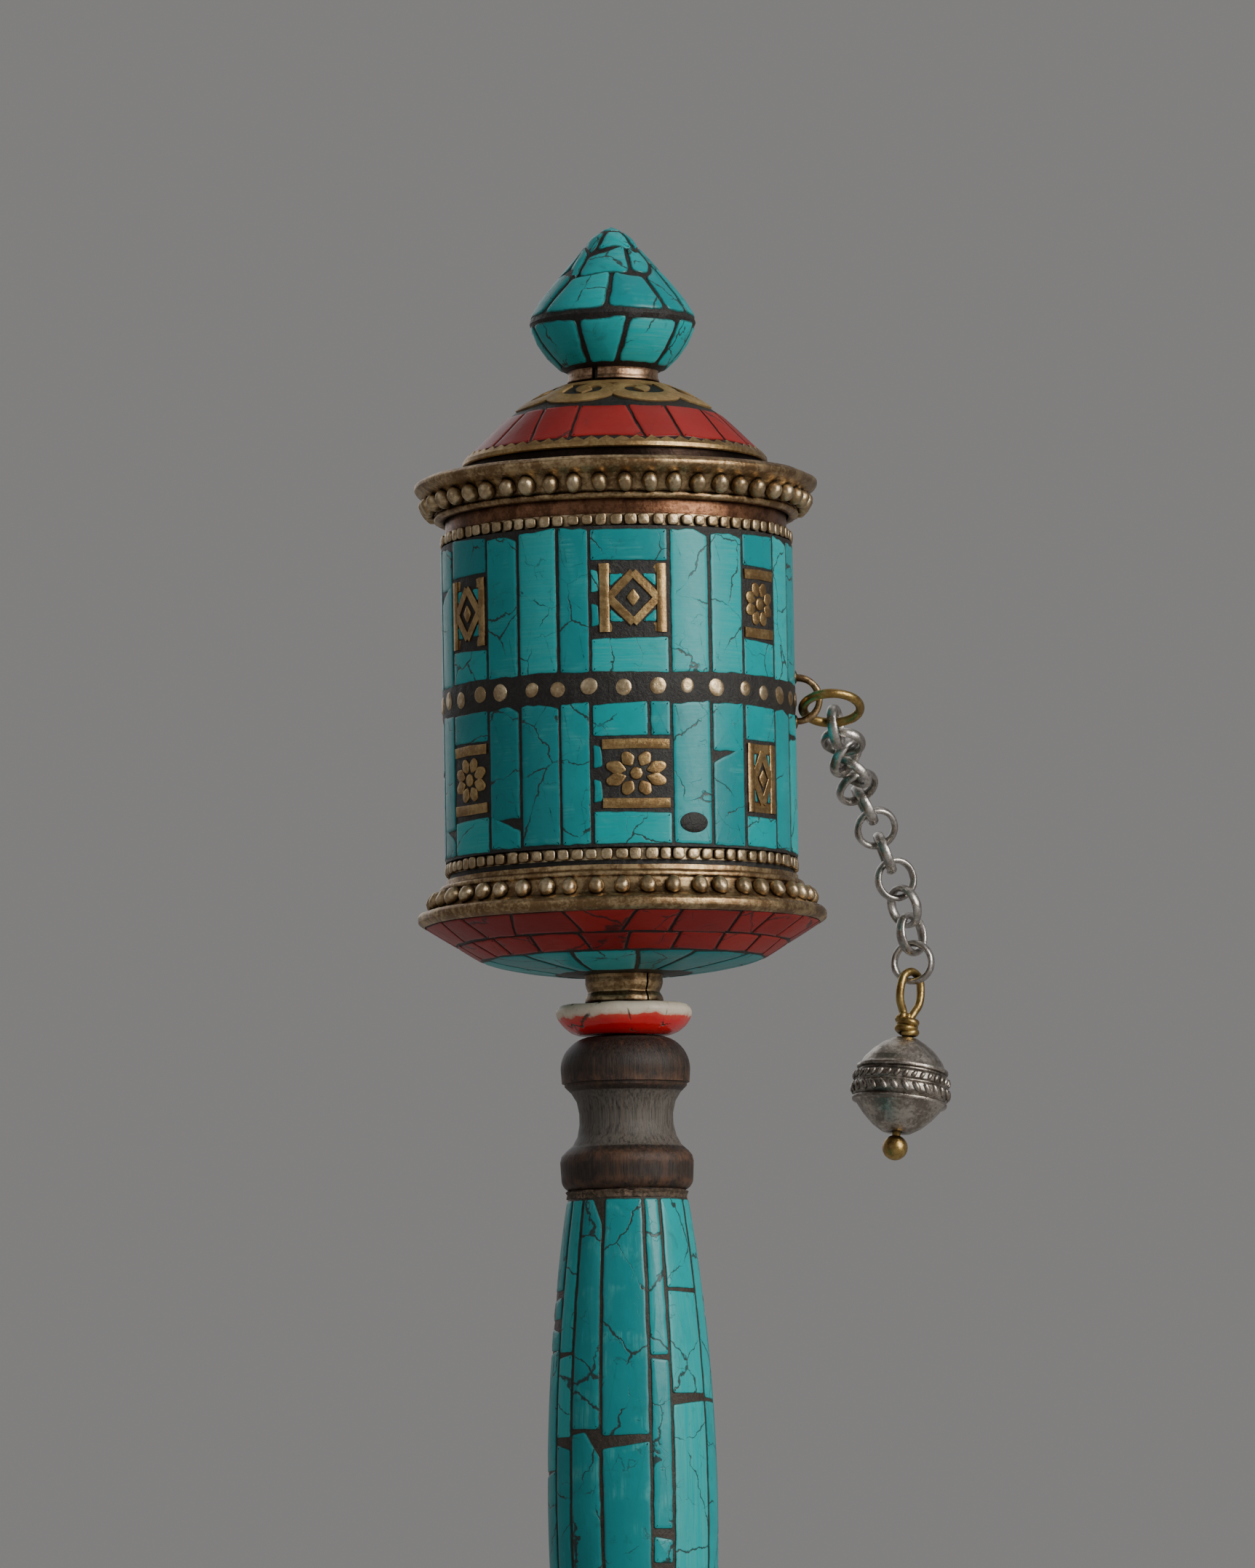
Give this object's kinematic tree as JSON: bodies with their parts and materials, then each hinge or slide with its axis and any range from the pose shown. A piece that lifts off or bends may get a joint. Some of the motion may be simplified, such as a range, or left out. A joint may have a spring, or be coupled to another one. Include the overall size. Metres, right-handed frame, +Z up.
{
  "type": "prayer wheel",
  "caption": "Hand-held prayer wheel: a stone-inlaid drum with a domed lid spins on an axle above a turned handle, driven by a weight on a chain.",
  "frame": {"origin": "centre of the flat lower end of the handle", "axes": "+Z up along the axle; the chain leaves the drum at +X; the front is towards -Y"},
  "size_m": [0.0762, 0.0626, 0.2403],
  "materials": {
    "steel": "dull, lightly greased",
    "wood": "dark brown, turned, worn smooth and dusty in the hollows",
    "turquoise": "polished chips with pale scuffs and dark veins",
    "coral": "polished red chips, a little dusty",
    "plaster": "rough brown cement",
    "grip_resin": "brown filler, rubbed smooth",
    "black_resin": "black filler, half gloss, grimy",
    "brass": "aged, dark in the hollows and bright on the edges",
    "copper": "tarnished red copper",
    "silver": "tarnished silver, dark in the hollows",
    "bone": "cream bone, stained red below, cracked",
    "paper": "aged, rolled",
    "cloth": "saffron cotton"
  },
  "bodies": {
    "handle": {"axle_rod": "steel", "grip_core": "wood", "grip_bed": "grip_resin", "grip_tiles": "turquoise", "grip_joint_ring": "plaster", "neck_post": "wood", "pommel": "wood", "pommel_washer": "brass"},
    "washer": {"bone_washer": "bone"},
    "drum": {"drum_shell": "copper", "drum_bed": "black_resin", "drum_tiles_upper": "turquoise", "drum_tiles_lower": "turquoise", "drum_ornaments": "brass", "drum_studs": "brass", "bead_strip_top": "brass", "bead_strip_bottom": "brass", "drum_neck": "copper", "drum_floor": "copper", "base_ring": "brass", "base_pearls": "brass", "base_bed": "black_resin", "base_coral_tiles": "coral", "base_turquoise_tiles": "turquoise", "lower_bush": "brass", "scroll_tube": "copper", "mantra_scroll": "paper", "scroll_wrap": "cloth", "scroll_ties": "cloth", "chain_eyelet": "brass"},
    "lid": {"crown_ring": "brass", "crown_pearls": "brass", "lid_plate": "copper", "lid_dome": "copper", "lid_bed": "black_resin", "lid_coral_tiles": "coral", "lid_petals": "brass", "lid_edge_band": "brass", "top_bush": "copper"},
    "finial": {"finial_core": "wood", "finial_bed": "black_resin", "finial_tiles": "turquoise", "finial_ferrule": "brass", "finial_nut": "brass"},
    "jump_ring": {"jump_ring": "brass"},
    "link_01": {"chain_link_01": "silver"},
    "link_02": {"chain_link_02": "silver"},
    "link_03": {"chain_link_03": "silver"},
    "link_04": {"chain_link_04": "silver"},
    "link_05": {"chain_link_05": "silver"},
    "link_06": {"chain_link_06": "silver"},
    "link_07": {"chain_link_07": "silver"},
    "link_08": {"chain_link_08": "silver"},
    "link_09": {"chain_link_09": "silver"},
    "link_10": {"chain_link_10": "silver"},
    "link_11": {"chain_link_11": "silver"},
    "link_12": {"chain_link_12": "silver"},
    "hanger": {"headpin": "brass"},
    "bead": {"counterweight_bead": "silver"}
  },
  "joints": [
    {"name": "drum_spin", "type": "hinge", "parent": "handle", "child": "drum", "pos_m": [0, 0, 0.17], "axis": [0, 0, 1], "continuous": true},
    {"name": "washer_spin", "type": "hinge", "parent": "handle", "child": "washer", "pos_m": [0, 0, 0.1277], "axis": [0, 0, 1], "continuous": true},
    {"name": "finial_lift", "type": "slide", "parent": "handle", "child": "finial", "axis": [0, 0, 1], "range_m": [0, 0.06]},
    {"name": "lid_lift", "type": "slide", "parent": "drum", "child": "lid", "axis": [0, 0, 1], "range_m": [0, 0.036]},
    {"name": "ring_swing", "type": "hinge", "parent": "drum", "child": "jump_ring", "pos_m": [0.02805, 0, 0.1717], "axis": [0, 1, 0], "range_deg": [-8, 8]},
    {"name": "link_01_swing", "type": "hinge", "parent": "jump_ring", "child": "link_01", "pos_m": [0.03052, 0.00365, 0.1698], "axis": [0.9721, -0.2131, 0.0984], "range_deg": [-10, 10]},
    {"name": "link_02_swing", "type": "hinge", "parent": "link_01", "child": "link_02", "pos_m": [0.03146, 0.00712, 0.16809], "axis": [-0.1382, -0.4059, -0.9034], "range_deg": [-10, 10]},
    {"name": "link_03_swing", "type": "hinge", "parent": "link_02", "child": "link_03", "pos_m": [0.03221, 0.01078, 0.16633], "axis": [-0.7657, 0.3699, 0.5262], "range_deg": [-10, 10]},
    {"name": "link_04_swing", "type": "hinge", "parent": "link_03", "child": "link_04", "pos_m": [0.03284, 0.0145, 0.16462], "axis": [0.5829, 0.2363, 0.7774], "range_deg": [-10, 10]},
    {"name": "link_05_swing", "type": "hinge", "parent": "link_04", "child": "link_05", "pos_m": [0.03387, 0.01807, 0.16277], "axis": [0.4137, -0.5449, -0.7294], "range_deg": [-10, 10]},
    {"name": "link_06_swing", "type": "hinge", "parent": "link_05", "child": "link_06", "pos_m": [0.03471, 0.02153, 0.16066], "axis": [-0.891, 0, -0.454], "range_deg": [-10, 10]},
    {"name": "link_07_swing", "type": "hinge", "parent": "link_06", "child": "link_07", "pos_m": [0.03628, 0.0238, 0.15758], "axis": [-0.227, 0.866, 0.4455], "range_deg": [-10, 10]},
    {"name": "link_08_swing", "type": "hinge", "parent": "link_07", "child": "link_08", "pos_m": [0.03762, 0.02587, 0.15425], "axis": [0.9397, 0, 0.342], "range_deg": [-10, 10]},
    {"name": "link_09_swing", "type": "hinge", "parent": "link_08", "child": "link_09", "pos_m": [0.03899, 0.02696, 0.1505], "axis": [0.3644, -0.9303, -0.0423], "range_deg": [-10, 10]},
    {"name": "link_10_swing", "type": "hinge", "parent": "link_09", "child": "link_10", "pos_m": [0.04035, 0.02767, 0.14666], "axis": [-0.7568, -0.5864, -0.289], "range_deg": [-10, 10]},
    {"name": "link_11_swing", "type": "hinge", "parent": "link_10", "child": "link_11", "pos_m": [0.04155, 0.02807, 0.14271], "axis": [-0.8011, 0.5878, -0.1126], "range_deg": [-10, 10]},
    {"name": "link_12_swing", "type": "hinge", "parent": "link_11", "child": "link_12", "pos_m": [0.04192, 0.02779, 0.13859], "axis": [0.3083, 0.9511, -0.0216], "range_deg": [-10, 10]},
    {"name": "hanger_swing", "type": "hinge", "parent": "link_12", "child": "hanger", "pos_m": [0.04159, 0.0278, 0.13445], "axis": [0.7108, -0.7032, -0.0128], "range_deg": [-10, 10]},
    {"name": "bead_spin", "type": "hinge", "parent": "hanger", "child": "bead", "pos_m": [0.04151, 0.02773, 0.13379], "axis": [-0.1212, -0.1045, -0.9871], "continuous": true}
  ],
  "couplings": [
    {"joint": "lid_lift", "follows": "finial_lift", "ratio": 0.6}
  ]
}
